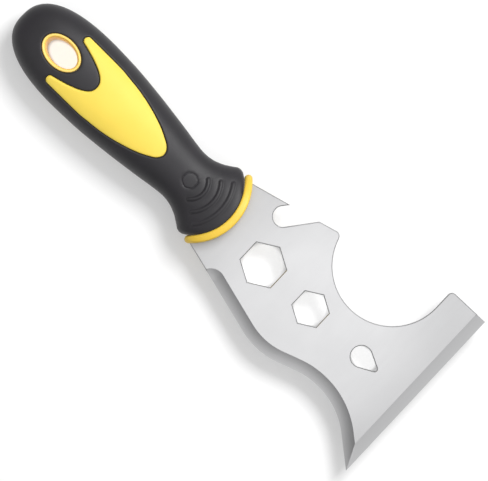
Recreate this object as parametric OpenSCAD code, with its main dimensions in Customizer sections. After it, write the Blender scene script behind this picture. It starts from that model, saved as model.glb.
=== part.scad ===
// Painter's multi tool: a stiff stamped blade with a scraping edge, a roller-cleaning notch,
// a pull hook, two hexagon sockets and a nail slot, on a two-colour moulded handle.
// Frame: +X along the handle from the butt to the scraping edge, +Y towards the roller notch,
// +Z up out of the face that carries the bevels. Millimetres. The tool lies flat, its belly at z = 0.

/* [Blade] */
// Thickness of the steel
blade_t = 2; // [1.6:0.1:3]
// Distance from the collar's centre of curvature to the scraping edge
edge_x = 121.2; // [118:0.2:126]
// Half of the scraping edge on the roller-notch side
edge_up = 38.4; // [34:0.2:42]
// Half of the scraping edge on the pointed side
edge_down = 41; // [38:0.2:44]
// Width of the ground bevels
bevel_w = 4.7; // [3:0.1:5.5]
// Thickness left along the ground edges
edge_t = 0.3; // [0.2:0.05:0.6]
// Angle by which the blade leans off the handle's axis
blade_lean = 1.7; // [0:0.1:3]

/* [Blade openings] */
// Radius of the roller-cleaning notch
notch_r = 23.4; // [20:0.1:24]
// Size across the flats of the larger hexagon socket
hex_large = 15.9; // [12:0.1:17]
// Size across the flats of the smaller hexagon socket
hex_small = 12.7; // [8:0.1:13.5]
// Radius of the round end of the nail slot
nail_r = 4.2; // [3:0.1:5]
// Radius of the bottom of the pull hook
hook_r = 4.1; // [3:0.1:4.5]
// Radius of the waves along the curved side
wave_r = 31.3; // [30:0.1:31.4]

/* [Tang] */
// Length of the tang behind the shoulder's centre of curvature
tang_l = 46; // [30:1:52]
// Width of the tang at the shoulder
tang_w = 14; // [10:0.5:15]
// Width of the tang at its end
tang_end_w = 10; // [7:0.5:12]
// Diameter of the two moulding lock holes in the tang
lock_d = 5; // [3:0.5:6]

/* [Handle] */
// Full width of the handle at its widest
belly_w = 34; // [32:0.5:36]
// Full thickness of the handle at its thickest
belly_t = 25.2; // [22:0.2:28]
// Thickness of the rubber wall
wall = 3; // [2:0.1:3.5]
// Height of the inlaid panels above the rubber
panel_proud = 0.2; // [0:0.1:0.5]
// Gap around each panel
panel_gap = 0.25; // [0.1:0.05:0.5]
// Height of the anti-slip ridges
ridge_h = 0.5; // [0.2:0.1:0.8]

/* [Collar and hang hole] */
// Depth of the collar along the handle
collar_d = 3.3; // [3:0.1:5]
// Full width of the collar
collar_w = 35.4; // [35:0.2:37]
// Full thickness of the collar
collar_t = 22.8; // [22:0.2:25]
// Length of the hang hole
hang_l = 14.6; // [10:0.2:15]
// Width of the hang hole
hang_w = 9.2; // [6:0.2:9.6]
// Width of the rim around the hang hole
rim_w = 1.6; // [1.4:0.1:2.2]

/* [Hidden] */

steel = "#d4d6d7";
yellow = "#fde060";
panel_yellow = "#ffee70";
black_rubber = "#363538";

play = 0.05;
far = 60;
around = 40;
section_power = 2.3;
butt_power = 2.5;

// Handle stations along its axis
widest_x = 34.3;
front_x = 113.2;
front_r = 20.8;
bow_x = front_x - front_r;
bow_start = 84;
bow_full = 110;
axis_z = belly_t / 2 + panel_proud;

// The handle's outline from its widest place to its front: [x, half width, half thickness],
// the last two as shares of the belly's own
grip_keys = [
  [widest_x, 1, 0.985],
  [47, 0.972, 1],
  [61, 0.892, 0.955],
  [75, 0.784, 0.85],
  [84, 0.705, 0.765],
  [89.5, 0.682, 0.72],
  [94.4, 0.715, 0.715],
  [99.9, 0.806, 0.745],
  [103.4, 0.876, 0.775],
  [107.8, 0.953, 0.815],
  [110.6, 0.994, 0.835],
  [112.3, 1.006, 0.845],
  [113.05, 0.982, 0.825],
  [front_x, 0.93, 0.78]
];
cap_shares = [0.8, 0.55, 0.3, 0.05];

// Blade features, from the collar's centre of curvature in the blade's own directions
notch_at = [edge_x - 17.9 - notch_r, 29.6];
hook_at = [35.6, 14.7];
hex_large_at = [42.8, -4.4];
hex_small_at = [68, -4.4];
nail_at = [95.1, -4.4];
nail_l = 12.2;
nail_tip_r = 1;
wing_r = 2;
horn_r = 2.2;
horn_at = [55.2, 22.6];
ridge_top = [47.2, 22.8];
bulge_at = [63, 1.4];
hollow_at = [89.9, -55.6];
shoulder_r = front_r + collar_d - 1.5;
collar_r = front_r + collar_d;
// Both faces step down under the collar and the handle, so that the faces outside end clear of them
seat_r = collar_r + 0.1;
seat_step = 0.05;
side_start = [27.7, -21.1];
top_z = blade_t / 2;

// The bevel cutters start this far outside the edge and end above the blade
spill = 0.6;
bevel_slope = (blade_t - edge_t) / bevel_w;
cut_z = edge_t - top_z - spill * bevel_slope;
cut_top = top_z + 1;
bevel_reach = bevel_w + (cut_top - top_z) / bevel_slope;
bevel_profile = [[-spill, cut_top], [bevel_reach, cut_top], [-spill, cut_z]];
// Radius that the outside of the cutter turns on where the side's bevel runs out, and the
// length of side before the bevel reaches its full width
runout_r = 0.4;
runout_l = bevel_w + 0.7;

// The side runs straight into the bulge, across to the hollow, and from there straight to the tip
tip = [edge_x, -edge_down];
cross_angle = tangent_angle((bulge_at + hollow_at) / 2, bulge_at, wave_r, -1);
bulge_end = on_circle(bulge_at, wave_r, cross_angle);
hollow_start = on_circle(hollow_at, wave_r, cross_angle + 180);
side_in_angle = tangent_angle(side_start, bulge_at, wave_r, 1);
side_out_angle = tangent_angle(tip, hollow_at, wave_r, 1);
side_in = on_circle(bulge_at, wave_r, side_in_angle);
side_out = on_circle(hollow_at, wave_r, side_out_angle);
side_run = (side_in - side_start) / norm(side_in - side_start);
run_angle = atan2(side_run.y, side_run.x);
grind_start = side_start + side_run * runout_l;
runout_at = grind_start + (spill + runout_r) * [side_run.y, -side_run.x];

// The line the side is ground along: a round run-out, then bulge and hollow, and on past the tip
ground_side = concat(
  arc(runout_at, spill + runout_r, run_angle + 190, run_angle + 90, 10),
  arc(bulge_at, wave_r, side_in_angle, cross_angle, 12),
  arc(hollow_at, wave_r, cross_angle + 180, side_out_angle, 20),
  [tip + (tip - side_out) * 0.5]
);

// The whole tool's box, which puts the origin under its middle
tip_out = turn(tip, blade_lean);
wing_out = turn([edge_x, edge_up], blade_lean);
mid_x = (bow_x + tip_out.x) / 2;
mid_y = (wing_out.y + tip_out.y) / 2;

// Hang hole: middle, and half sizes of the eyelet's outside
hang_x = 21.9;
eyelet_a = hang_l / 2 + rim_w;
eyelet_b = hang_w / 2 + rim_w;
rim_proud = 0.3;

// Panel outline: two prongs round the eyelet, then a long taper to a round point
panel_keys = [
  [27, 12.3],
  [42, 12.2],
  [47, 11.8],
  [54, 11],
  [61.5, 9.4],
  [69.5, 6.8],
  [75.4, 3.8]
];
panel_tip_x = 77.9;
prong_end_x = 25.9;
prong_r = 1.65;
cradle_x = 41.2;
cradle_power = 2.4;

// Thumb rest: a small boss and three arcs that spread from it: [front of the arc, radius, half angle]
boss_x = 92;
boss_af = 5.8;
ridge_w = 1.25;
thumb_arcs = [[99.9, 7.6, 50], [104.8, 12.5, 43], [109.2, 19, 37]];

function turn(p, a) = [p.x * cos(a) - p.y * sin(a), p.x * sin(a) + p.y * cos(a)];
function on_circle(c, r, a) = c + r * [cos(a), sin(a)];
function arc(c, r, a0, a1, n) = [for (i = [0:n]) on_circle(c, r, a0 + (a1 - a0) * i / n)];
// Direction, seen from the centre of a circle, of the place where a line from point p touches it
function tangent_angle(p, c, r, side) =
  atan2(p.y - c.y, p.x - c.x) + side * acos(r / norm(p - c));

// Catmull-Rom curve through the rows of a table, by row number
function row(keys, i) = keys[max(0, min(len(keys) - 1, i))];
function blend_rows(a, b, c, d, s) =
  (2 * b + (c - a) * s + (2 * a - 5 * b + 4 * c - d) * s * s + (3 * b - a - 3 * c + d) * s * s * s) / 2;
function through(keys, t) =
  let (i = min(len(keys) - 2, floor(t)))
  blend_rows(row(keys, i - 1), row(keys, i), row(keys, i + 1), row(keys, i + 2), t - i);

// How much of the round butt is reached at x
function butt_share(x, inset) =
  pow(max(0, 1 - pow((widest_x - x) / (widest_x - inset), butt_power)), 1 / butt_power);
// Half width and half thickness, inset from the rubber's surface
function sized(x, share_w, share_t, inset) =
  [x, share_w * belly_w / 2 - inset, share_t * belly_t / 2 - inset];
function butt_stations(inset, n) = [
  for (i = [0:n - 1])
    let (x = inset + (widest_x - inset) * pow(i / n, 2) + (i == 0 ? 0.02 : 0))
    let (share = butt_share(x, inset))
    [x, share * (belly_w / 2 - inset), share * (belly_t / 2 * grip_keys[0][2] - inset)]
];
function body_stations(inset, per_key) = [
  for (i = [0:(len(grip_keys) - 1) * per_key])
    let (k = through(grip_keys, i / per_key))
    sized(k.x, k.y, k.z, inset)
];
function cap_stations(last, reach) = [for (s = cap_shares) [last.x + reach, last.y * s, last.z * s]];
function stations(inset, n, per_key, reach) =
  let (body = body_stations(inset, per_key))
  concat(butt_stations(inset, n), body, cap_stations(body[len(body) - 1], reach));

// How far a place at half width y falls back behind the centre line, near the bowed front
function bow(x, y) =
  max(0, min(1, (x - bow_start) / (bow_full - bow_start))) * (front_r - sqrt(max(0, front_r * front_r - y * y)));
function power(v, e) = sign(v) * pow(abs(v), e);
function section_point(s, a) =
  let (y = s.y * power(cos(a), 2 / section_power))
  [s.x - bow(s.x, y), y, s.z * power(sin(a), 2 / section_power)];

// Height of the rubber's surface above the handle's axis, over the butt and belly
function surface_z(x, y) =
  let (share = butt_share(min(x, widest_x), 0))
  let (w = share * belly_w / 2)
  let (h = share * belly_t / 2 * grip_keys[0][2])
  h * pow(max(0, 1 - pow(abs(y) / w, section_power)), 1 / section_power);

// Closed skin over rings of the same number of points
module skin(rings) {
  n = len(rings[0]);
  last = len(rings) - 1;
  faces = [
    for (i = [0:last - 1], j = [0:n - 1])
      [i * n + j, i * n + (j + 1) % n, (i + 1) * n + (j + 1) % n, (i + 1) * n + j]
  ];
  start = [for (j = [n - 1:-1:0]) j];
  end = [for (j = [0:n - 1]) last * n + j];
  polyhedron([for (ring = rings) each ring], concat(faces, [start, end]), convexity = 6);
}

// The handle's outer form, inset by a wall or let out by a height. Its front face is moved by reach.
module handle_form(inset, n = 14, per_key = 2, reach = 0) {
  skin([
    for (s = stations(inset, n, per_key, reach))
      [for (j = [around - 1:-1:0]) section_point(s, 360 * (j + 0.5) / around)]
  ]);
}

// A moulding is worked out as one smooth mesh
module moulding() {
  resize([0, 0, 0]) children();
}

module oval(a, b) {
  polygon([for (j = [0:47]) [a * cos(7.5 * j), b * sin(7.5 * j)]]);
}

// Hexagon with two flats across the X axis
module hexagon(across_flats) {
  rotate([0, 0, 30]) circle(d = across_flats / cos(30), $fn = 6);
}

// Direction from point a to point b, and the offset that mitres two directions, to their left
function heading(a, b) = (b - a) / norm(b - a);
function mitre(u, v) = [-u.y - v.y, u.x + v.x] / (1 + u * v);

// Cutter for a ground bevel along a line of points, with the blade on the line's left
module bevel(line) {
  last = len(line) - 1;
  headings = [for (i = [0:last - 1]) heading(line[i], line[i + 1])];
  skin([
    for (i = [0:last])
      let (out = mitre(headings[max(0, i - 1)], headings[min(last - 1, i)]))
      [for (p = bevel_profile) [each line[i] + p.x * out, p.y]]
  ]);
}

module blade_outline() {
  difference() {
    union() {
      polygon(concat(
        [[16, -17.9], side_start, side_in, bulge_end, hollow_start, side_out, tip, [edge_x, edge_up]],
        arc([notch_at.x + notch_r + wing_r, edge_up - wing_r], wing_r, 90, 180, 8),
        [[notch_at.x + notch_r, notch_at.y], notch_at],
        arc(horn_at, horn_r, 0, 105, 8),
        [ridge_top, hook_at + hook_r * [0.707, -0.707], hook_at],
        [hook_at + hook_r * [-0.707, 0.707], [34.5, 19.8], [16, 15]]
      ));
      intersection() {
        translate(bulge_at) circle(wave_r, $fn = 180);
        translate([side_in.x, -far]) square([bulge_end.x - side_in.x, far - 20]);
      }
      tang_outline(0);
    }
    difference() {
      circle(shoulder_r, $fn = 120);
      tang_outline(0);
    }
    translate(notch_at) circle(notch_r, $fn = 180);
    translate(hollow_at) circle(wave_r, $fn = 180);
    translate(hook_at) circle(hook_r, $fn = 64);
    translate(hex_large_at) hexagon(hex_large);
    translate(hex_small_at) hexagon(hex_small);
    nail_slot();
  }
}

module nail_slot() {
  reach = nail_l - nail_r - nail_tip_r;
  lean = asin((nail_r - nail_tip_r) / reach);
  side = [sin(lean), cos(lean)];
  translate(nail_at) {
    circle(nail_r, $fn = 64);
    translate([reach, 0]) circle(nail_tip_r, $fn = 32);
    polygon([
      nail_r * side,
      [reach, 0] + nail_tip_r * side,
      [reach, 0] + nail_tip_r * [side.x, -side.y],
      nail_r * [side.x, -side.y]
    ]);
  }
}

// The tang, let out by a clearance, with its lock holes
module tang_outline(extra) {
  front = shoulder_r + 1;
  difference() {
    polygon([
      [-tang_l - extra, -tang_end_w / 2 - extra],
      [front, -tang_w / 2 - extra],
      [front, tang_w / 2 + extra],
      [-tang_l - extra, tang_end_w / 2 + extra]
    ]);
    for (x = [-tang_l * 0.2, -tang_l * 0.72])
      translate([x, 0]) circle(d = lock_d - 2 * extra, $fn = 48);
  }
}

// Puts a shape drawn round the collar's centre of curvature in its place in the tool
module at_bow(lean = 0) {
  translate([bow_x - mid_x, -mid_y, axis_z]) rotate([0, 0, lean]) children();
}

// Puts a shape drawn from the butt along the handle's axis in its place in the tool
module at_butt() {
  translate([-mid_x, -mid_y, axis_z]) children();
}

// The part of a slab of height z above the handle's middle plane that an outline covers
module upper(z = far) {
  linear_extrude(z) children();
}

module panel_outline(extra) {
  side = [for (i = [0:(len(panel_keys) - 1) * 3]) through(panel_keys, i / 3)];
  prong_y = panel_keys[0].y - prong_r;
  back_end = arc([prong_end_x, prong_y], prong_r, 90, 270, 10);
  inner_y = prong_y - prong_r;
  cradle_l = cradle_x - prong_end_x;
  cradle = [for (i = [11:-1:0]) [cradle_x - cradle_l * pow(i / 12, cradle_power), inner_y * i / 12]];
  half = concat([[panel_tip_x, 0]], [for (i = [len(side) - 1:-1:0]) side[i]], back_end, cradle);
  offset(delta = extra) {
    polygon(half);
    mirror([0, 1]) polygon(half);
  }
}

module panel() {
  moulding() intersection() {
    difference() {
      handle_form(-panel_proud);
      handle_form(wall);
    }
    upper() panel_outline(0);
  }
}

module ridges() {
  translate([boss_x, 0]) hexagon(boss_af);
  for (ridge = thumb_arcs)
    translate([ridge.x - ridge.y, 0])
      difference() {
        polygon(concat([[0, 0]], arc([0, 0], ridge.y, -ridge.z, ridge.z, 20)));
        circle(ridge.y - ridge_w, $fn = 90);
      }
}

module blade() {
  color(steel) at_bow(blade_lean) difference() {
    translate([0, 0, -blade_t / 2]) linear_extrude(blade_t) blade_outline();
    bevel(ground_side);
    bevel([[edge_x, -edge_down - 5], [edge_x, edge_up + 5]]);
    for (z = [top_z - seat_step, seat_step - top_z - 1])
      translate([0, 0, z]) cylinder(r = seat_r, h = 1, $fn = 180);
  }
}

module handle_core() {
  color(yellow) moulding() difference() {
    at_butt() handle_form(wall + play, 10, 1, -play);
    at_bow(blade_lean) translate([0, 0, -blade_t / 2 - play])
      linear_extrude(blade_t + 2 * play) tang_outline(play);
    at_butt() translate([hang_x, 0, -far / 2])
      linear_extrude(far) oval(eyelet_a + play, eyelet_b + play);
  }
}

module grip() {
  color(black_rubber) moulding() at_butt() difference() {
    union() {
      handle_form(0);
      intersection() {
        handle_form(-ridge_h);
        upper() ridges();
      }
    }
    handle_form(wall, 10, 1, 2);
    upper() panel_outline(panel_gap);
    mirror([0, 0, 1]) upper() panel_outline(panel_gap);
    translate([hang_x, 0, -far / 2]) linear_extrude(far) oval(eyelet_a + play, eyelet_b + play);
    translate([bow_x, 0, -blade_t / 2 - play]) linear_extrude(blade_t + 2 * play)
      translate([0, -tang_w / 2 - 1]) square([far, tang_w + 2]);
  }
}

module front_panel() {
  color(panel_yellow) at_butt() panel();
}

module back_panel() {
  color(panel_yellow) at_butt() mirror([0, 0, 1]) panel();
}

module collar_outline() {
  mid_r = front_r + collar_d / 2;
  end_a = asin((collar_w - collar_d) / 2 / mid_r);
  difference() {
    polygon(concat([[0, 0]], arc([0, 0], 1.2 * collar_r, -end_a, end_a, 8)));
    circle(front_r + play, $fn = 180);
  }
  for (a = [-end_a, end_a])
    translate(on_circle([0, 0], mid_r, a)) circle(d = collar_d - 2 * play, $fn = 48);
}

module collar() {
  section = [
    for (j = [0:around - 1])
      let (a = 360 * (j + 0.5) / around)
      [collar_w / 2 * power(cos(a), 2 / section_power), collar_t / 2 * power(sin(a), 2 / section_power)]
  ];
  color(yellow) at_bow() difference() {
    intersection() {
      linear_extrude(collar_t, center = true) collar_outline();
      cylinder(r = collar_r, h = collar_t, center = true, $fn = 180);
      rotate([90, 0, 90]) linear_extrude(far) polygon(section);
    }
    rotate([0, 0, blade_lean]) translate([0, 0, -blade_t / 2 - play])
      linear_extrude(blade_t + 2 * play) {
        difference() {
          translate([0, -far / 2]) square([far, far]);
          circle(shoulder_r - play, $fn = 180);
        }
        translate([0, -tang_w / 2 - play]) square([far, tang_w + 2 * play]);
      }
  }
}

// Section of the eyelet at one place round it: outside face, round rim and flared mouth.
// Each row is the distance in from the outside, and the depth below the rim.
eyelet_rim = [[0, 1.2], [0.12, 0.35], [0.45, 0], [0.9, 0.15], [rim_w - 0.25, 0.9], [rim_w, 3]];

function eyelet_point(j, row, up) =
  let (x = (eyelet_a - row.x) * cos(7.5 * j))
  let (y = (eyelet_b - row.x) * sin(7.5 * j))
  let (out_x = hang_x + eyelet_a * cos(7.5 * j))
  let (out_y = eyelet_b * sin(7.5 * j))
  [hang_x + x, y, up * (surface_z(out_x, out_y) + rim_proud - row.y)];

module hang_hole_eyelet() {
  n = len(eyelet_rim);
  rings = concat(
    [for (i = [0:n - 1]) [for (j = [0:47]) eyelet_point(j, eyelet_rim[i], 1)]],
    [for (i = [n - 1:-1:0]) [for (j = [0:47]) eyelet_point(j, eyelet_rim[i], -1)]]
  );
  count = len(rings);
  faces = [
    for (i = [0:count - 1], j = [0:47])
      let (k = (i + 1) % count, m = (j + 1) % 48)
      each [[i * 48 + j, k * 48 + j, k * 48 + m], [i * 48 + j, k * 48 + m, i * 48 + m]]
  ];
  color(yellow) at_butt() polyhedron([for (ring = rings) each ring], faces, convexity = 6);
}

blade();
handle_core();
grip();
front_panel();
back_panel();
collar();
hang_hole_eyelet();
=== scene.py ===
import math

import bmesh
import bpy
import numpy as np
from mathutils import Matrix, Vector
from mathutils.geometry import delaunay_2d_cdt

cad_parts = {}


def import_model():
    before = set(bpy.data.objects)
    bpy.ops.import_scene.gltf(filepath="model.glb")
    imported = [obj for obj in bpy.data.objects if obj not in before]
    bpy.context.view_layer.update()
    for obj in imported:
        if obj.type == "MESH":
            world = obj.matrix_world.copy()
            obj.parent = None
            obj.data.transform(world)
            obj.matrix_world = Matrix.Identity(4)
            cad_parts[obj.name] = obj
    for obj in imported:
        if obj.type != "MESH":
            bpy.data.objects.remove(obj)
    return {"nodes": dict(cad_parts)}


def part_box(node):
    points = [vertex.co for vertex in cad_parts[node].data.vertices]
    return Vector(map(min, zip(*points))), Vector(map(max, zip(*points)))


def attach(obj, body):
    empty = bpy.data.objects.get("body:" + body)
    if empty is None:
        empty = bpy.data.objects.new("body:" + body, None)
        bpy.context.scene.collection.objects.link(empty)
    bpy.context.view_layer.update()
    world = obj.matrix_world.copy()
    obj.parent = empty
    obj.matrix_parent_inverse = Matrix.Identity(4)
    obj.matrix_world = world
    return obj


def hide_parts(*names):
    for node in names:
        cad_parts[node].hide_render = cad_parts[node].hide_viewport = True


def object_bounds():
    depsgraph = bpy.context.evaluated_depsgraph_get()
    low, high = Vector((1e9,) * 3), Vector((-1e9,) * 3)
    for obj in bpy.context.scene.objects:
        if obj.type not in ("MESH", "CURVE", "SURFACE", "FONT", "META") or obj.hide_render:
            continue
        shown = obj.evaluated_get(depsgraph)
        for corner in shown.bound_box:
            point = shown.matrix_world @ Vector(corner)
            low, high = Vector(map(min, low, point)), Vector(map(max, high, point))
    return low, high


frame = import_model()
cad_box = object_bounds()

# Everything is worked out in millimetres in the tool's own directions: x along the handle from its
# butt, y towards the roller notch, z up from the handle's middle plane. world() turns that into metres.
MM = 0.001
FAR = 1e3

# ---------------------------------------------------------------- sizes that the CAD gives
grip_low, grip_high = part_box("grip")
blade_low, blade_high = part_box("blade")
collar_low, collar_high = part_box("collar")
AXIS = Vector((grip_low.x, (grip_low.y + grip_high.y) / 2, (blade_low.z + blade_high.z) / 2))
BELLY_W = (grip_high.y - grip_low.y) / MM
BELLY_T = (grip_high.z - grip_low.z) / MM
BLADE_T = (blade_high.z - blade_low.z) / MM
COLLAR_W = (collar_high.y - collar_low.y) / MM
COLLAR_T = (collar_high.z - collar_low.z) / MM

# ---------------------------------------------------------------- handle
SECTION_POWER = 2.3
BUTT_POWER = 2.5
BUTT_DEPTH_SHARE = 0.985
WIDEST_X = 34.3
FRONT_X = 113.2
FRONT_R = 20.8
BOW_X = FRONT_X - FRONT_R
BOW_START = 84
BOW_FULL = 110
# [x, half width, half thickness] from the widest place to the front, the last two as
# shares of the belly's
GRIP_KEYS = np.array([
    (WIDEST_X, 1, BUTT_DEPTH_SHARE), (47, 0.972, 1), (61, 0.892, 0.955), (75, 0.784, 0.85),
    (84, 0.705, 0.765), (89.5, 0.682, 0.72), (94.4, 0.715, 0.715), (99.9, 0.806, 0.745),
    (103.4, 0.876, 0.775), (107.8, 0.953, 0.815), (110.6, 0.994, 0.835), (112.3, 1.006, 0.845),
    (113.05, 0.982, 0.825), (FRONT_X, 0.93, 0.78),
])
COLLAR_D = 3.3

# Hang hole and eyelet
HANG_X = 21.9
RIM_W = 1.6
RIM_PROUD = 0.3
HANG_A = 14.6 / 2
HANG_B = 9.2 / 2
EYELET_A = HANG_A + RIM_W
EYELET_B = HANG_B + RIM_W
OVAL_POINTS = 120
EYELET_POINTS = 160
COLLAR_POINTS = 180
# Section of the rim: [distance in from its outside, depth below its top]
EYELET_RIM = np.array([
    (0, 1.2), (0.12, 0.35), (0.45, 0), (0.9, 0.15), (RIM_W - 0.25, 0.9), (RIM_W, 3),
])

# Panels: [x, half width], then the prongs' ends and the cradle between them
PANEL_KEYS = np.array([
    (27, 12.3), (42, 12.2), (47, 11.8), (54, 11), (61.5, 9.4), (69.5, 6.8), (75.4, 3.8),
])
PANEL_TIP_X = 77.9
PRONG_END_X = 25.9
PRONG_R = 1.65
CRADLE_X = 41.2
CRADLE_POWER = 2.4
PANEL_GAP = 0.25
PANEL_PROUD = 0.2

# Thumb rest: boss, and arcs as [front of the arc, radius, half angle]
BOSS_X = 92
BOSS_R = 2.9
BOSS_CORNER_R = 1.9
RIDGE_W = 1.6
THUMB_ARCS = [(100.1, 7.8, 50), (105, 12.7, 43), (109.4, 19.2, 37)]

# ---------------------------------------------------------------- blade
# Places on the blade are measured from the centre that the collar is bowed round.
EDGE_X = 121.2
EDGE_UP = 38.4
EDGE_DOWN = 41
BEVEL_W = 4.7
EDGE_T = 0.3
BLADE_LEAN = 1.7
NOTCH_R = 23.4
NOTCH = (EDGE_X - 17.9 - NOTCH_R, 29.6)
WING_R = 2
HORN = (55.2, 22.6)
HORN_R = 2.2
NOTCH_END_DEG = -164.2
HORN_DEGS = (15.8, 104.6)
RIDGE_TOP = (47.2, 22.8)
HOOK = (35.6, 14.7)
HOOK_R = 4.1
HOOK_DEGS = (-45, -225)
HOOK_TIP = (34.5, 19.8)
WAVE_R = 31.3
BULGE = (63, 1.4)
HOLLOW = (89.9, -55.6)
SIDE_START = (27.7, -21.1)
SHOULDER_R = FRONT_R + COLLAR_D - 1.5
SHOULDER_DEG = 43
SHOULDER_X = 16
SHOULDER_Y = 17.9
TANG_L = 46
TANG_W = 14
TANG_END_W = 10
HEX_LARGE = ((42.8, -4.4), 15.9)
HEX_SMALL = ((68, -4.4), 12.7)
NAIL = (95.1, -4.4)
NAIL_R = 4.2
NAIL_L = 12.2
NAIL_TIP_R = 1
# Rounding of the edges above and below, and how hollow the bevels are ground
CHAMFER = 0.38
UNDER_CHAMFER = 0.06
SIDE_HOLLOW = 0.13
FRONT_HOLLOW = 0.03
# Where the side bevel runs out towards the handle
RUNOUT_R = 1.0
RUNOUT_L = BEVEL_W + 0.7


# ---------------------------------------------------------------- flat geometry
def on_circle(c, r, a):
    return (c[0] + r * math.cos(math.radians(a)), c[1] + r * math.sin(math.radians(a)))


def arc(c, r, a0, a1, step=0.6):
    """Points on an arc from a0 to a1 degrees, about step millimetres apart."""
    n = max(4, math.ceil(abs(math.radians(a1 - a0)) * r / step))
    return [on_circle(c, r, a0 + (a1 - a0) * i / n) for i in range(n + 1)]


def tangent_angle(p, c, r, side):
    """Direction from the centre of a circle to the place where a line from p touches it."""
    dx, dy = p[0] - c[0], p[1] - c[1]
    return math.degrees(math.atan2(dy, dx) + side * math.acos(r / math.hypot(dx, dy)))


def left_of(headings):
    """Unit headings turned a quarter to the left."""
    return np.stack([-headings[:, 1], headings[:, 0]], 1)


def mitres(before, after):
    """Offset of 1 to the left of a corner, for the unit headings before and after it."""
    return (left_of(before) + left_of(after)) / (1 + (before * after).sum(1))[:, None]


def unit(v):
    return v / np.linalg.norm(v, axis=-1, keepdims=True)


def inset(loop, d):
    """A closed loop moved d to its left."""
    loop = np.asarray(loop, float)
    after = unit(np.roll(loop, -1, 0) - loop)
    return loop + d * mitres(np.roll(after, 1, 0), after)


def beside(line, d):
    """An open line moved d to its left."""
    line = np.asarray(line, float)
    h = unit(line[1:] - line[:-1])
    return line + d * mitres(np.vstack([h[:1], h]), np.vstack([h, h[-1:]]))


def resample(loop, step, closed=True):
    """The same loop or line with extra points, so that none of its edges is longer than step."""
    loop = np.asarray(loop, float)
    ends = np.roll(loop, -1, 0) if closed else loop[1:]
    out = []
    for a, b in zip(loop, ends):
        n = max(1, math.ceil(np.linalg.norm(b - a) / step))
        out += [a + (b - a) * i / n for i in range(n)]
    return np.array(out if closed else out + [loop[-1]])


def clean(loop, least=0.02):
    """A closed loop without points that fall on the one before them."""
    loop = np.asarray(loop, float)
    return loop[np.linalg.norm(loop - np.roll(loop, 1, 0), axis=1) > least]


def clean_line(line, least=0.02):
    """An open line without points that fall on the one before them."""
    line = np.asarray(line, float)
    gap = np.linalg.norm(np.diff(line, axis=0), axis=1)
    return line[np.concatenate([[True], gap > least])]


def line_distance(points, line, closed=True):
    """Distance of each point from a line or loop."""
    line = np.asarray(line, float)
    a = line if closed else line[:-1]
    b = np.roll(line, -1, 0) if closed else line[1:]
    best = np.full(len(points), FAR)
    for i in range(len(a)):
        run = b[i] - a[i]
        t = np.clip(((points - a[i]) @ run) / (run @ run), 0, 1)
        best = np.minimum(best, np.linalg.norm(points - a[i] - t[:, None] * run, axis=1))
    return best


def inside(points, loop):
    """Whether each point is inside a loop."""
    loop = np.asarray(loop, float)
    x, y = points[:, 0], points[:, 1]
    odd = np.zeros(len(points), bool)
    for (ax, ay), (bx, by) in zip(loop, np.roll(loop, -1, 0)):
        if ay != by:
            crosses = (ay > y) != (by > y)
            odd ^= crosses & (x < ax + (y - ay) * (bx - ax) / (by - ay))
    return odd


def outside_distance(points, loop):
    """Distance outwards from a loop, negative inside it."""
    return line_distance(points, loop) * np.where(inside(points, loop), -1, 1)


def triangulate(points, loops, lines=()):
    """Triangles over all the points, with every loop's and line's edges among theirs."""
    verts = [tuple(p) for p in points]
    edges = []
    for loop, closed in [(loop, True) for loop in loops] + [(line, False) for line in lines]:
        first = len(verts)
        verts += [tuple(p) for p in loop]
        edges += [(i, i + 1) for i in range(first, len(verts) - 1)]
        if closed:
            edges.append((len(verts) - 1, first))
    made = delaunay_2d_cdt([Vector(v) for v in verts], edges, [], 0, 1e-6)
    return np.array([tuple(v) for v in made[0]]), np.array([tuple(f) for f in made[2]]), made[3]


def slab(faces, top, bottom):
    """Closed solid between two sheets of the same triangles."""
    n = len(top)
    edges = {(f[i], f[(i + 1) % 3]) for f in faces for i in range(3)}
    walls = [(a, a + n, b + n, b) for a, b in edges if (b, a) not in edges]
    under = [tuple(i + n for i in reversed(f)) for f in faces]
    return np.vstack([top, bottom]), [tuple(f) for f in faces] + under + walls


# ---------------------------------------------------------------- pieces
def world(points):
    """The tool's millimetres in the frame's metres."""
    return np.asarray(points, float) * MM + np.array(AXIS)


def from_collar(points, lean=0):
    """Points drawn round the collar's centre of curvature, in the tool's directions."""
    points = np.asarray(points, float)
    c, s = math.cos(math.radians(lean)), math.sin(math.radians(lean))
    x, y = points[:, 0], points[:, 1]
    return np.stack([BOW_X + x * c - y * s, x * s + y * c, points[:, 2]], 1)


def piece(name, points, faces, material, stands_for, sharp=30):
    """A finished piece: its mesh, material, body and the CAD node it stands for."""
    mesh = bpy.data.meshes.new(name)
    mesh.from_pydata([tuple(p) for p in world(points)], [], [tuple(int(i) for i in f) for f in faces])
    bm = bmesh.new()
    bm.from_mesh(mesh)
    bmesh.ops.remove_doubles(bm, verts=bm.verts, dist=2e-7)
    bmesh.ops.dissolve_degenerate(bm, edges=bm.edges, dist=1e-7)
    bmesh.ops.recalc_face_normals(bm, faces=bm.faces)
    bm.to_mesh(mesh)
    bm.free()
    mesh.polygons.foreach_set("use_smooth", [True] * len(mesh.polygons))
    mesh.set_sharp_from_angle(angle=math.radians(sharp))
    mesh.materials.append(material)
    made = bpy.data.objects.new(name, mesh)
    bpy.context.scene.collection.objects.link(made)
    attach(made, "root")
    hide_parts(stands_for)
    return made


def between_rings(count, n, closed):
    """Faces that join count rings of n points in turn, and the last to the first if closed."""
    faces = []
    for i in range(count if closed else count - 1):
        for j in range(n):
            a, b = i * n, (i + 1) % count * n
            k = (j + 1) % n
            faces.append((a + j, a + k, b + k, b + j))
    return faces


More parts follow.
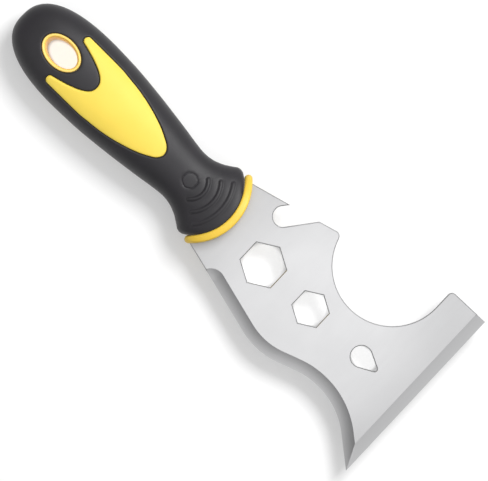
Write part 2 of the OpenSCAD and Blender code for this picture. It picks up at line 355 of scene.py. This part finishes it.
# ---------------------------------------------------------------- the handle's form
def through(keys, per_key):
    """Catmull-Rom curve through the rows of a table, with per_key steps between two rows."""
    padded = np.vstack([keys[:1], keys, keys[-1:]])
    out = []
    for i in range(len(keys) - 1):
        a, b, c, d = padded[i:i + 4]
        for s in np.arange(per_key) / per_key:
            out.append((2 * b + (c - a) * s + (2 * a - 5 * b + 4 * c - d) * s ** 2
                        + (3 * b - a - 3 * c + d) * s ** 3) / 2)
    return np.array(out + [keys[-1]])


def make_form():
    """Rows [x, half width, half thickness] along the handle, and the distance u along its side."""
    x = WIDEST_X * (np.arange(200) / 200) ** 2
    share = np.maximum(0, 1 - ((WIDEST_X - x) / WIDEST_X) ** BUTT_POWER) ** (1 / BUTT_POWER)
    butt = np.stack([x, share * BELLY_W / 2, share * BELLY_T / 2 * BUTT_DEPTH_SHARE], 1)
    body = through(GRIP_KEYS, 40) * (1, BELLY_W / 2, BELLY_T / 2)
    rows = np.vstack([butt, body])
    rows[:, 0] = np.maximum.accumulate(rows[:, 0])
    steps = np.linalg.norm(np.diff(rows[:, :2], axis=0), axis=1)
    return rows, np.concatenate([[0], np.cumsum(steps)])


FORM, FORM_U = make_form()


def form_at_u(u):
    """[x, half width, half thickness] at distance u along the handle's side."""
    return [np.interp(u, FORM_U, FORM[:, i]) for i in range(3)]


def bow(x, y):
    """How far a place at half width y falls back behind the centre line, near the bowed front."""
    drop = FRONT_R - np.sqrt(np.maximum(0, FRONT_R ** 2 - y ** 2))
    return np.clip((x - BOW_START) / (BOW_FULL - BOW_START), 0, 1) * drop


def station_of(x, y):
    """The station whose bowed section passes through a place in plan."""
    s = np.array(x, float)
    for _ in range(30):
        s = x + bow(s, y)
    return s


def power(v, e):
    """A power that keeps its number's sign."""
    return np.sign(v) * np.abs(v) ** e


def form_point(u, angle):
    """Place on the handle's surface at distance u along it and an angle in degrees round it."""
    x, w, h = form_at_u(u)
    c, s = np.cos(np.radians(angle)), np.sin(np.radians(angle))
    y = w * power(c, 2 / SECTION_POWER)
    return np.stack([x - bow(x, y), y, h * power(s, 2 / SECTION_POWER)], -1)


def form_normal(u, angle):
    """Outward direction of the handle's surface at form_point(u, angle)."""
    du, da = 0.15, 0.6
    u = np.clip(u, 0.3, FORM_U[-1] - 0.3)
    along = form_point(u + du, angle) - form_point(u - du, angle)
    round_it = form_point(u, angle + da) - form_point(u, angle - da)
    return unit(np.cross(round_it, along))


def surface(x, y):
    """Height of the handle's upper surface over places in plan."""
    s = station_of(x, y)
    w, h = np.interp(s, FORM[:, 0], FORM[:, 1]), np.interp(s, FORM[:, 0], FORM[:, 2])
    share = np.clip(np.abs(y) / w, 0, 0.999)
    return h * (1 - share ** SECTION_POWER) ** (1 / SECTION_POWER)


def surface_point(plan, height, side=1):
    """Places at a height above the handle's upper surface, or on its underside with side -1."""
    x, y = plan[:, 0], plan[:, 1]
    e = 0.05
    normal = unit(np.stack([surface(x - e, y) - surface(x + e, y),
                            surface(x, y - e) - surface(x, y + e), np.full(len(x), 2 * e)], 1))
    points = np.stack([x, y, surface(x, y)], 1) + normal * np.reshape(height, (-1, 1))
    return points * (1, 1, side)


# ---------------------------------------------------------------- outlines on the handle
def oval(a, b, n=OVAL_POINTS):
    """An oval round the hang hole's centre."""
    t = np.arange(n) * 2 * math.pi / n
    return np.stack([HANG_X + a * np.cos(t), b * np.sin(t)], 1)


def panel_outline():
    """Two prongs round the eyelet, then a long taper to a round point, counterclockwise."""
    side = through(PANEL_KEYS, 10)
    tip = np.array([(PANEL_TIP_X, 0)])
    mirror = (1, -1)
    before = side[-14:-13]
    nose_keys = np.vstack([before, side[-1:], tip, side[-1:] * mirror, before * mirror])
    nose = through(nose_keys, 10)[10:21]
    prong_y = PANEL_KEYS[0, 1] - PRONG_R
    end = arc((PRONG_END_X, prong_y), PRONG_R, 90, 270, 0.4)
    inner_y = prong_y - PRONG_R
    y = inner_y * np.linspace(1, 0, 25)[1:]
    depth = (CRADLE_X - PRONG_END_X) * (y / inner_y) ** CRADLE_POWER
    cradle = np.stack([CRADLE_X - depth, y], 1)
    upper = np.vstack([nose[::-1], side[-2::-1], end, cradle])
    lower = upper[1:-1][::-1] * mirror
    return clean(resample(np.vstack([upper, lower]), 0.8), 0.15)


def arc_ridge(front, radius, half_angle):
    """Outline of one thumb arc with round ends, counterclockwise."""
    c = (front - radius, 0)
    inner = radius - RIDGE_W
    ends = [on_circle(c, radius - RIDGE_W / 2, a) for a in (half_angle, -half_angle)]
    return clean(np.array(
        arc(c, radius, -half_angle, half_angle)
        + arc(ends[0], RIDGE_W / 2, half_angle, half_angle + 180, 0.25)
        + arc(c, inner, half_angle, -half_angle)
        + arc(ends[1], RIDGE_W / 2, -half_angle - 180, -half_angle, 0.25)), 0.1)


def boss_outline():
    """A hexagon with round corners, counterclockwise."""
    reach = (BOSS_R - BOSS_CORNER_R) / math.cos(math.radians(30))
    points = []
    for i in range(6):
        middle = 60 * i + 30
        corner = on_circle((BOSS_X, 0), reach, middle)
        points += arc(corner, BOSS_CORNER_R, middle - 30, middle + 30, 0.3)
    return clean(np.array(points), 0.1)


PANEL = panel_outline()

# How the rubber's surface rises and falls beside an outline: [distance outside it, height]
RECESS_STEPS = [
    (0.1, -1.4), (PANEL_GAP - 0.02, -0.55), (PANEL_GAP + 0.06, -0.22),
    (PANEL_GAP + 0.18, -0.08), (PANEL_GAP + 0.36, -0.02), (PANEL_GAP + 0.6, 0),
]
EYELET_STEPS = [(0.02, -1.6), (0.2, -0.6), (0.28, -0.25), (0.42, -0.08), (0.7, 0)]
RIDGE_STEPS = [
    (-0.72, 0.42), (-0.48, 0.37), (-0.24, 0.22), (0, 0.02),
    (0.18, -0.08), (0.38, -0.1), (0.62, -0.05), (0.95, 0),
]
BOSS_STEPS = [
    (-0.5, 0.04), (-0.22, 0.02), (-0.1, -0.1), (0.03, -0.22), (0.18, -0.22), (0.3, -0.1), (0.5, 0),
]
# How bold each thumb arc is, from the boss on
ARC_BOLDNESS = (1, 0.85, 0.6)


def features():
    """[outline, steps, side] of everything that shapes the rubber's surface."""
    yield PANEL, RECESS_STEPS, 1
    yield PANEL, RECESS_STEPS, -1
    yield oval(EYELET_A, EYELET_B), EYELET_STEPS, 1
    yield oval(EYELET_A, EYELET_B), EYELET_STEPS, -1
    yield boss_outline(), BOSS_STEPS, 1
    for thumb_arc, boldness in zip(THUMB_ARCS, ARC_BOLDNESS):
        yield arc_ridge(*thumb_arc), [(d, h * boldness) for d, h in RIDGE_STEPS], 1


# ---------------------------------------------------------------- grip
# The rubber's surface is unrolled to a sheet, where a degree round the handle is DEG_MM wide. Its
# triangles stand on a grid that keeps GRID_CLEAR from the outlines.
DEG_MM = 0.26
GRID_U = 1.1
GRID_DEG = 4
GRID_CLEAR = 0.42
SHEET_END = 179 * DEG_MM
# How far outside and inside its outline a feature is looked for
REACH_OUT = 4
REACH_IN = 13


def to_sheet(plan, side):
    """Places in plan on the rubber's sheet: [u, angle in the sheet's millimetres]."""
    x, y = plan[:, 0], plan[:, 1]
    u = np.interp(station_of(x, y), FORM[:, 0], FORM_U)
    w = form_at_u(u)[1]
    angle = np.degrees(np.arccos(np.clip(np.abs(y) / w, 0, 1) ** (SECTION_POWER / 2)))
    angle = np.where(y < 0, 180 - angle, angle)
    return np.stack([u, side * angle * DEG_MM], 1)


def sheet_height(sheet, found):
    """Height of the rubber's relief at places on the sheet."""
    plan = form_point(sheet[:, 0], sheet[:, 1] / DEG_MM)[:, :2]
    height = np.zeros(len(sheet))
    for outline, steps, side in found:
        reach = np.where(inside(plan, outline), REACH_IN, REACH_OUT)
        near = line_distance(plan, outline[::4]) < reach
        picked = np.where(near & (np.sign(sheet[:, 1]) == side))[0]
        if len(picked):
            d = outside_distance(plan[picked], outline)
            height[picked] += np.interp(d, [s[0] for s in steps], [s[1] for s in steps])
    return height


def make_grip(material):
    """The rubber with its relief, the hang hole's tunnel and a flat front."""
    found = list(features())
    loops, loop_heights, tunnel = [], [], {}
    for outline, steps, side in found:
        for distance, height in steps:
            if len(outline) == OVAL_POINTS and distance == EYELET_STEPS[0][0]:
                tunnel[side] = len(loops)
            loops.append(to_sheet(inset(outline, -distance), side))
            loop_heights.append(height)
    rows = np.linspace(0, FORM_U[-1], round(FORM_U[-1] / GRID_U))
    angles = np.arange(-180, 181, GRID_DEG)
    grid = np.array([(u, a * DEG_MM) for u in rows for a in angles])
    border = (np.abs(grid[:, 1]) > SHEET_END) | (grid[:, 0] == 0) | (grid[:, 0] == rows[-1])
    crowd = np.full(len(grid), FAR)
    for loop in loops:
        crowd = np.minimum(crowd, line_distance(grid, loop))
    plan = form_point(grid[:, 0], grid[:, 1] / DEG_MM)[:, :2]
    under = inside(plan, inset(PANEL, 0.5)) | inside(plan, oval(EYELET_A, EYELET_B))
    grid = grid[border | ((crowd > GRID_CLEAR) & ~under)]
    verts, faces, origins = triangulate(grid, loops)

    height = sheet_height(verts, found)
    known = np.concatenate([np.full(len(grid), np.nan)]
                           + [np.full(len(loop), h) for loop, h in zip(loops, loop_heights)])
    place = {}
    for i, origin in enumerate(origins):
        for o in origin:
            place[o] = i
            if not np.isnan(known[o]):
                height[i] = known[o]
    middles = verts[faces].mean(1)
    hole = inside(middles, loops[tunnel[1]]) | inside(middles, loops[tunnel[-1]])
    faces = [tuple(f) for f in faces[~hole]]

    angle = verts[:, 1] / DEG_MM
    points = form_point(verts[:, 0], angle) + form_normal(verts[:, 0], angle) * height[:, None]
    starts = len(grid) + np.concatenate([[0], np.cumsum([len(loop) for loop in loops])])
    n = OVAL_POINTS
    upper, lower = [[place[int(starts[tunnel[side]]) + j] for j in range(n)] for side in (1, -1)]
    faces += [(upper[j], upper[(j + 1) % n], lower[(j + 1) % n], lower[j]) for j in range(n)]
    front = [i for i, v in enumerate(verts) if v[0] > rows[-1] - 1e-4 and v[1] < SHEET_END]
    front.sort(key=lambda i: verts[i][1])
    faces.append(tuple(front))
    return piece("rubber_grip", points, faces, material, "grip", sharp=50)


# ---------------------------------------------------------------- panels, eyelet, collar
# A panel's surface: [distance inside its outline, height], and the height of its underside
PANEL_STEPS = [
    (0, -1.25), (0.02, -0.55), (0.07, -0.22), (0.18, -0.03), (0.36, 0.1), (0.6, 0.17),
    (0.95, PANEL_PROUD),
]
PANEL_FLOOR = -1.35
PANEL_GRID = 1.2
PANEL_REACH = 13.2


def make_panel(name, material, stands_for, side):
    """A panel with a soft edge, on the handle's upper side or with side -1 on its underside."""
    loops = [inset(PANEL, d) for d, _ in PANEL_STEPS]
    xs = np.arange(PRONG_END_X - 3, PANEL_TIP_X, PANEL_GRID)
    ys = np.arange(-PANEL_REACH, PANEL_REACH + 0.1, PANEL_GRID)
    grid = np.array([(x + 0.3 * (j % 2), y) for x in xs for j, y in enumerate(ys)])
    grid = grid[inside(grid, loops[-1])]
    grid = grid[line_distance(grid, loops[-1]) > 0.5]
    verts, faces, _ = triangulate(grid, loops)
    faces = faces[inside(verts[faces].mean(1), PANEL)]
    used, faces = np.unique(faces, return_inverse=True)
    verts, faces = verts[used], faces.reshape(-1, 3)
    depth = -outside_distance(verts, PANEL)
    height = np.interp(depth, [s[0] for s in PANEL_STEPS], [s[1] for s in PANEL_STEPS])
    points, faces = slab(faces, surface_point(verts, height, side),
                         surface_point(verts, np.full(len(verts), PANEL_FLOOR), side))
    return piece(name, points, faces, material, stands_for, sharp=50)


def make_eyelet(material):
    """The hang hole's liner, with a rolled rim on both sides."""
    rim = through(EYELET_RIM, 6)
    n = EYELET_POINTS
    t = np.arange(n) * 2 * math.pi / n
    out = oval(EYELET_A, EYELET_B, n)
    top = surface(out[:, 0], out[:, 1]) + RIM_PROUD
    rings = []
    for side, rows in ((1, rim), (-1, rim[::-1])):
        for into, depth in rows:
            x, y = HANG_X + (EYELET_A - into) * np.cos(t), (EYELET_B - into) * np.sin(t)
            rings.append(np.stack([x, y, side * (top - depth)], 1))
    faces = between_rings(len(rings), n, True)
    return piece("hang_hole_liner", np.vstack(rings), faces, material,
                 "hang_hole_eyelet")


def make_collar(material):
    """The collar's section bowed with the grip's front, and closed front and back at mid height."""
    n = COLLAR_POINTS
    half = COLLAR_D / 2 - 0.05
    mid_r = FRONT_R + COLLAR_D / 2
    t = (np.arange(n) + 0.5) * 2 * math.pi / n
    y = COLLAR_W / 2 * power(np.cos(t), 2 / SECTION_POWER)
    z = COLLAR_T / 2 * power(np.sin(t), 2 / SECTION_POWER)
    slope = SECTION_POWER - 1
    normal = unit(np.stack([power(y / COLLAR_W * 2, slope) / COLLAR_W,
                            power(z / COLLAR_T * 2, slope) / COLLAR_T], 1))
    corner = 0.8 + (half - 0.8) * np.abs(np.cos(t)) ** 3
    rings = []

    def ring(axial, into, flat=1.0):
        """A ring at a depth into the section, flattened towards the blade's plane by flat."""
        across = y - normal[:, 0] * into * np.sqrt(1 - (y / mid_r) ** 2)
        up = (z - normal[:, 1] * into) * flat
        turn = np.arcsin(np.clip(across / mid_r, -1, 1))
        rings.append(np.stack([(mid_r + axial) * np.cos(turn), (mid_r + axial) * np.sin(turn), up], 1))

    bends = np.radians(np.linspace(0, 90, 7))
    lip = corner + 1.2
    ring(-half, lip, 0.0)
    ring(-half, lip, 0.5)
    for b in bends[::-1]:
        ring(-half + corner * (1 - np.sin(b)), corner * (1 - np.cos(b)))
    for b in bends:
        ring(half - corner * (1 - np.sin(b)), corner * (1 - np.cos(b)))
    ring(half, lip, 0.5)
    ring(half, lip, 0.0)
    faces = between_rings(len(rings), n, False)
    return piece("collar_band", from_collar(np.vstack(rings)), faces, material,
                 "collar")


# ---------------------------------------------------------------- blade
def blade_lines():
    """The blade's outline, its openings and the line its side is ground along."""
    tip = (EDGE_X, -EDGE_DOWN)
    middle = ((BULGE[0] + HOLLOW[0]) / 2, (BULGE[1] + HOLLOW[1]) / 2)
    cross = tangent_angle(middle, BULGE, WAVE_R, -1)
    side_in = tangent_angle(SIDE_START, BULGE, WAVE_R, 1)
    side_out = tangent_angle(tip, HOLLOW, WAVE_R, 1)
    waves = arc(BULGE, WAVE_R, side_in, cross) + arc(HOLLOW, WAVE_R, cross + 180, side_out)
    corner = (SHOULDER_X, -math.sqrt(SHOULDER_R ** 2 - SHOULDER_X ** 2))
    tang_deg = math.degrees(math.asin(TANG_W / 2 / SHOULDER_R))
    outer = (
        [corner, (SHOULDER_X, -SHOULDER_Y), SIDE_START] + waves + [tip, (EDGE_X, EDGE_UP)]
        + arc((NOTCH[0] + NOTCH_R + WING_R, EDGE_UP - WING_R), WING_R, 90, 180, 0.3)
        + arc(NOTCH, NOTCH_R, 0, NOTCH_END_DEG)
        + arc(HORN, HORN_R, *HORN_DEGS, 0.3)
        + [RIDGE_TOP]
        + arc(HOOK, HOOK_R, *HOOK_DEGS, 0.4)
        + [HOOK_TIP, on_circle((0, 0), SHOULDER_R, SHOULDER_DEG)]
        + arc((0, 0), SHOULDER_R, SHOULDER_DEG - 2, tang_deg)
        + [(-TANG_L, TANG_END_W / 2), (-TANG_L, -TANG_END_W / 2)]
        + arc((0, 0), SHOULDER_R, -tang_deg, -SHOULDER_DEG)
    )
    reach = NAIL_L - NAIL_R - NAIL_TIP_R
    lean = math.degrees(math.asin((NAIL_R - NAIL_TIP_R) / reach))
    nail = (arc((NAIL[0] + reach, NAIL[1]), NAIL_TIP_R, 90 - lean, lean - 90, 0.25)
            + arc(NAIL, NAIL_R, lean - 90, -270 - lean, 0.4))
    hexes = [[on_circle(c, af / 2 / math.cos(math.pi / 6), -60 * i - 30) for i in range(6)]
             for c, af in (HEX_LARGE, HEX_SMALL)]

    first = np.array(on_circle(BULGE, WAVE_R, side_in))
    run = unit(first - np.array(SIDE_START))
    turn = math.degrees(math.atan2(run[1], run[0]))
    start = np.array(SIDE_START) + run * RUNOUT_L + RUNOUT_R * np.array((run[1], -run[0]))
    past_tip = np.array(tip) + (np.array(tip) - np.array(waves[-1])) / 2
    ground = arc(start, RUNOUT_R, turn + 190, turn + 90, 0.15) + waves + [past_tip]
    return clean(outer), [clean(h) for h in hexes + [nail]], clean_line(ground)


def ground_height(d, hollow):
    """Height above the blade's middle of a hollow-ground bevel, at distance d from its edge."""
    share = np.clip(d / BEVEL_W, 0, 1)
    flat = EDGE_T - BLADE_T / 2 + share * (BLADE_T - EDGE_T)
    return flat - hollow * 4 * share * (1 - share)


# Where lines of triangles follow a bevel, as shares of its width
BEVEL_SHARES = (0.06, 0.25, 0.5, 0.75, 0.94, 1)


def make_blade(material):
    """The steel plate with its openings, soft edges and two ground bevels."""
    outer, holes, ground = blade_lines()
    rims = [resample(loop, 1.2) for loop in [outer] + holes]
    front = np.array([(EDGE_X, -EDGE_DOWN - 3), (EDGE_X, EDGE_UP + 3)])
    cuts = [resample(beside(line, BEVEL_W * share), 1.5, False)
            for line in (ground, front) for share in BEVEL_SHARES]
    run = unit(ground[-1] - ground[-2])
    tip = np.array((EDGE_X, -EDGE_DOWN))
    inward = mitres(run[None], np.array([(0.0, 1.0)]))[0]
    cuts.append(np.array([tip + 0.05 * inward, tip + BEVEL_W * inward]))
    verts, faces, _ = triangulate([], rims + [inset(r, CHAMFER) for r in rims], cuts)
    middles = verts[faces].mean(1)
    keep = inside(middles, rims[0])
    for hole in rims[1:]:
        keep &= ~inside(middles, hole)
    used, faces = np.unique(faces[keep], return_inverse=True)
    verts, faces = verts[used], faces.reshape(-1, 3)
    rim = np.min([line_distance(verts, r) for r in rims], 0)
    fall = np.clip(CHAMFER - rim, 0, None)
    side_bevel = ground_height(line_distance(verts, ground, False), SIDE_HOLLOW)
    front_bevel = ground_height(EDGE_X - verts[:, 0], FRONT_HOLLOW)
    top = np.minimum(np.minimum(BLADE_T / 2 - fall, side_bevel), front_bevel)
    under = np.minimum(fall, UNDER_CHAMFER) - BLADE_T / 2
    points, faces = slab(faces, np.column_stack([verts, top]), np.column_stack([verts, under]))
    return piece("steel_blade", from_collar(points, BLADE_LEAN), faces, material,
                 "blade", sharp=12)


# ---------------------------------------------------------------- materials
# The middle of the blade, where a painted highlight makes its colour lightest, and how far from there
# the painted highlight fades to a darker colour
PAINTED_HIGHLIGHT_MIDDLE = (0.056, -0.008, AXIS.z)
PAINTED_HIGHLIGHT_FADE = (0.025, 0.06)
# How far a surface has to lean towards the scraping edge, as the front bevel does, to take the front
# bevel's painted reflection
FRONT_BEVEL_REFLECTION_LEAN = (0.2, 0.3)


class Nodes:
    """A material's node tree, with short ways to add what the materials here use."""

    def __init__(self, name):
        self.material = bpy.data.materials.new(name)
        self.material.use_nodes = True
        self.tree = self.material.node_tree
        self.shader = next(n for n in self.tree.nodes if n.type == "BSDF_PRINCIPLED")
        self.place = self.tree.nodes.new("ShaderNodeTexCoord").outputs["Object"]

    def add(self, kind, links=None, **values):
        """A node with its properties, and its inputs linked or set."""
        node = self.tree.nodes.new(kind)
        for key, value in values.items():
            setattr(node, key, value)
        self.fill(node, links or {})
        return node

    def fill(self, node, links):
        for key, value in links.items():
            if isinstance(value, bpy.types.NodeSocket):
                self.tree.links.new(value, node.inputs[key])
            else:
                node.inputs[key].default_value = value

    def noise(self, size, detail=3, stretch=(1, 1, 1)):
        """Noise with blotches of about size metres, stretched along the axes."""
        scale = [s / size for s in stretch]
        mapping = self.add("ShaderNodeMapping", {"Vector": self.place, "Scale": scale})
        links = {"Vector": mapping.outputs[0], "Scale": 1.0, "Detail": detail}
        return self.add("ShaderNodeTexNoise", links).outputs["Fac"]

    def between(self, value, low, high, to_low, to_high, kind="LINEAR"):
        """A value from low to high turned into one from to_low to to_high."""
        links = {"Value": value, "From Min": low, "From Max": high,
                 "To Min": to_low, "To Max": to_high}
        return self.add("ShaderNodeMapRange", links, interpolation_type=kind).outputs[0]

    def smooth(self, *values):
        return self.between(*values, kind="SMOOTHSTEP")

    def facing_x(self):
        """How far the surface leans towards the scraping edge: the x of its normal."""
        normal = self.tree.nodes.new("ShaderNodeTexCoord").outputs["Normal"]
        return self.add("ShaderNodeSeparateXYZ", {0: normal}).outputs["X"]

    def vector_math(self, operation, links):
        return self.add("ShaderNodeVectorMath", links, operation=operation).outputs

    def distance(self, place):
        return self.vector_math("DISTANCE", {0: self.place, 1: place})["Value"]

    def oval_distance(self, place, across, along):
        """Distance from an oval's centre, as a share of its half sizes in x and y."""
        scale = (1 / across, 1 / along, 1 / across)
        back = [-p * s for p, s in zip(place, scale)]
        inward = self.vector_math("MULTIPLY_ADD", {0: self.place, 1: scale, 2: back})[0]
        return self.vector_math("LENGTH", {0: inward})["Value"]

    def plus(self, a, b):
        return self.add("ShaderNodeMath", {0: a, 1: b}, operation="ADD").outputs[0]

    def mix(self, amount, a, b):
        return self.add("ShaderNodeMix", {0: amount, 6: a, 7: b}, data_type="RGBA").outputs[2]

    def bump(self, height, distance, strength):
        links = {"Height": height, "Distance": distance, "Strength": strength}
        return self.add("ShaderNodeBump", links).outputs[0]

    def shade(self, links):
        """The material, with its shader's inputs linked or set."""
        self.fill(self.shader, links)
        return self.material


def colour(red, green, blue):
    """A colour given as it looks on a screen, 0 to 255."""
    return (*[((c / 255 + 0.055) / 1.055) ** 2.4 for c in (red, green, blue)], 1.0)


def steel():
    """Satin steel with fine grinding lines, with a painted highlight in the middle of the blade and a
    painted reflection that lightens the front bevel.
    """
    n = Nodes("ground_steel")
    brushed = n.noise(0.0005, 2, (1, 0.05, 1))
    cloud = n.noise(0.02, 3)
    shade = n.mix(n.between(cloud, 0.3, 0.7, 0, 1), colour(197, 197, 198), colour(202, 202, 203))
    # Painted highlight: the colour is lighter round the blade's middle and darker away from it,
    # standing in for the reflection of the light overhead.
    past_painted_highlight = n.smooth(n.distance(PAINTED_HIGHLIGHT_MIDDLE), *PAINTED_HIGHLIGHT_FADE, 0, 1)
    shade = n.mix(past_painted_highlight, shade, colour(178, 178, 179))
    # Painted reflection: surfaces leaning towards the scraping edge, the front bevel, get a lighter set
    # colour for the light they mirror.
    shade = n.mix(n.smooth(n.facing_x(), *FRONT_BEVEL_REFLECTION_LEAN, 0, 1), shade, colour(192, 192, 193))
    rough = n.between(brushed, 0.3, 0.7, 0.285, 0.315)
    return n.shade({"Base Color": shade, "Metallic": 0.85, "Roughness": rough,
                    "Normal": n.bump(brushed, 0.00001, 0.02)})


def plastic(name, light, dark, roughness):
    """Moulded plastic with a fine grain, clouded between two colours."""
    n = Nodes(name)
    cloud = n.noise(0.012, 3)
    grain = n.noise(0.00035, 2)
    shade = n.mix(n.between(cloud, 0.3, 0.7, 0, 1), light, dark)
    rough = n.between(grain, 0.3, 0.7, roughness - 0.04, roughness + 0.04)
    return n.shade({"Base Color": shade, "Roughness": rough, "Specular IOR Level": 0.45,
                    "Subsurface Weight": 0.05, "Subsurface Radius": (1, 0.7, 0.2),
                    "Subsurface Scale": 0.002,
                    "Normal": n.bump(grain, 0.000012, 0.3)})


def rubber():
    """Soft black rubber with a fine matt grain."""
    n = Nodes("soft_black_rubber")
    cloud = n.noise(0.01, 3)
    grain = n.noise(0.0003, 3)
    shade = n.mix(n.between(cloud, 0.3, 0.7, 0, 1), colour(31, 30, 33), colour(36, 34, 38))
    rough = n.between(grain, 0.3, 0.7, 0.5, 0.6)
    return n.shade({"Base Color": shade, "Roughness": rough, "Specular IOR Level": 0.4,
                    "Sheen Weight": 0.12, "Sheen Roughness": 0.4,
                    "Normal": n.bump(grain, 0.00002, 0.35)})


def floor_paint():
    """A pale floor lit evenly from below, with painted pools of light under the tool's openings."""
    n = Nodes("pale_floor")
    shade = n.mix(n.noise(0.4, 2), (0.53, 0.53, 0.53, 1), (0.55, 0.55, 0.55, 1))
    glow = FLOOR_GLOW
    # Painted pools of light: the floor glows more in an oval under each opening.
    for (x, y), across, along, bright in GLOW_SPOTS:
        share = n.oval_distance((x, y, FLOOR_Z), across * MM, along * MM)
        glow = n.plus(n.smooth(share, *SPOT_FADE, bright, 0), glow)
    return n.shade({"Base Color": shade, "Roughness": 0.9, "Specular IOR Level": 0.0,
                    "Emission Color": (1, 1, 1, 1), "Emission Strength": glow})


# ---------------------------------------------------------------- camera, light and floor
CAMERA_AWAY = 1.6
VIEW_TURN = 44.8
VIEW_CENTRE = (0.0159, -0.0040)
VIEW_WIDTH = 0.1903
SENSOR = 36
FLOOR_Z = cad_box[0].z - 0.0001
FLOOR_SIZE = 4
FLOOR_GLOW = 0.34
# The painted pools of light on the floor under each opening: [place, half sizes in x and y, added
# glow], and how a pool's edge fades, as shares of its size
ON_BLADE = world(from_collar([(*HEX_LARGE[0], 0), (*HEX_SMALL[0], 0), (NAIL[0] + 1.5, NAIL[1], 0)],
                             BLADE_LEAN))[:, :2].tolist()
GLOW_SPOTS = [
    (world([HANG_X, 0, 0])[:2].tolist(), HANG_A, HANG_B, 0.45),
    (ON_BLADE[0], 8.6, 8.6, 0.3),
    (ON_BLADE[1], 6.9, 6.9, 0.3),
    (ON_BLADE[2], 6, 4.2, 0.4),
]
SPOT_FADE = (0.85, 1.05)
KEY_SIDE, KEY_UP, KEY_SIZE, KEY_WATTS = 0.385, 0.84, 0.38, 10
# A small weak lamp low over the handle's shaded side: right, up, height, size, watts
FILL = (-0.17, 0.02, 0.12, 0.1, 0.035)
# Where the sky is brightest, in the picture's directions, and how its strength falls off from
# there: from and to a cosine, from and to a strength
SKY_LEAN = (0.18, -0.09)
SKY_FADE = (0.46, 1.0, 0.1, 1.12)


def across_view(right, up):
    """A direction on the floor, given as it lies in the picture."""
    c, s = math.cos(math.radians(VIEW_TURN)), math.sin(math.radians(VIEW_TURN))
    return right * c - up * s, right * s + up * c


def make_camera():
    """A camera straight above the tool, turned as the photograph shows it."""
    camera = bpy.data.objects.new("camera", bpy.data.cameras.new("camera"))
    bpy.context.scene.collection.objects.link(camera)
    camera.location = (*VIEW_CENTRE, AXIS.z + CAMERA_AWAY)
    camera.rotation_euler = (0, 0, math.radians(VIEW_TURN))
    camera.data.sensor_width = SENSOR
    camera.data.lens = SENSOR * CAMERA_AWAY / VIEW_WIDTH
    camera.data.clip_start = 0.01
    bpy.context.scene.camera = camera


def area_light(name, right, up, height, size, watts):
    """A soft light over a place given as it lies in the picture, aimed at the tool."""
    x, y = across_view(right, up)
    light = bpy.data.lights.new(name, "AREA")
    light.shape = "SQUARE"
    light.size = size
    light.energy = watts
    lamp = bpy.data.objects.new(name, light)
    bpy.context.scene.collection.objects.link(lamp)
    lamp.location = (x, y, height)
    lamp.visible_camera = False
    lamp.rotation_euler = Vector((x, y, height)).to_track_quat("Z", "Y").to_euler()


def make_sky():
    """A studio ceiling, bright overhead on the key light's side and dim towards the far horizon."""
    sky = bpy.data.worlds.new("studio")
    sky.use_nodes = True
    tree = sky.node_tree
    look = tree.nodes.new("ShaderNodeTexCoord").outputs["Generated"]
    facing = tree.nodes.new("ShaderNodeVectorMath")
    facing.operation = "DOT_PRODUCT"
    tree.links.new(look, facing.inputs[0])
    facing.inputs[1].default_value = Vector((*across_view(*SKY_LEAN), 1)).normalized()
    fade = tree.nodes.new("ShaderNodeMapRange")
    fade.interpolation_type = "SMOOTHSTEP"
    tree.links.new(facing.outputs["Value"], fade.inputs["Value"])
    for name, value in zip(("From Min", "From Max", "To Min", "To Max"), SKY_FADE):
        fade.inputs[name].default_value = value
    background = tree.nodes["Background"]
    background.inputs["Color"].default_value = (1, 1, 1, 1)
    tree.links.new(fade.outputs["Result"], background.inputs["Strength"])
    bpy.context.scene.world = sky


def make_stage():
    """The floor, the sky and the lamps."""
    half = FLOOR_SIZE / 2
    corners = [(x * half, y * half, FLOOR_Z) for x, y in ((-1, -1), (1, -1), (1, 1), (-1, 1))]
    mesh = bpy.data.meshes.new("floor")
    mesh.from_pydata(corners, [], [(0, 1, 2, 3)])
    mesh.materials.append(floor_paint())
    floor = bpy.data.objects.new("floor", mesh)
    bpy.context.scene.collection.objects.link(floor)
    make_sky()
    bpy.context.scene.view_settings.view_transform = "Standard"
    area_light("key", KEY_SIDE, KEY_SIDE, KEY_UP, KEY_SIZE, KEY_WATTS)
    area_light("fill", *FILL)


# ---------------------------------------------------------------- the tool
make_camera()
make_stage()
make_blade(steel())
make_grip(rubber())
# The panels, collar and eyelet take copies of one yellow plastic. The eyelet's lighter copy is painted
# light that brightens its shaded funnel.
yellow_panel = plastic("panel_yellow", colour(228, 202, 80), colour(225, 198, 76), 0.6)
yellow_collar = plastic("collar_yellow", colour(226, 190, 66), colour(222, 185, 60), 0.5)
yellow_eyelet = plastic("eyelet_yellow", colour(244, 208, 112), colour(240, 202, 104), 0.4)
make_panel("thumb_side_panel", yellow_panel, "front_panel", 1)
make_panel("palm_side_panel", yellow_panel, "back_panel", -1)
make_collar(yellow_collar)
make_eyelet(yellow_eyelet)
core = frame["nodes"]["handle_core"]
core.data.materials.clear()
core.data.materials.append(plastic("core_yellow", colour(247, 215, 82), colour(243, 210, 76), 0.5))
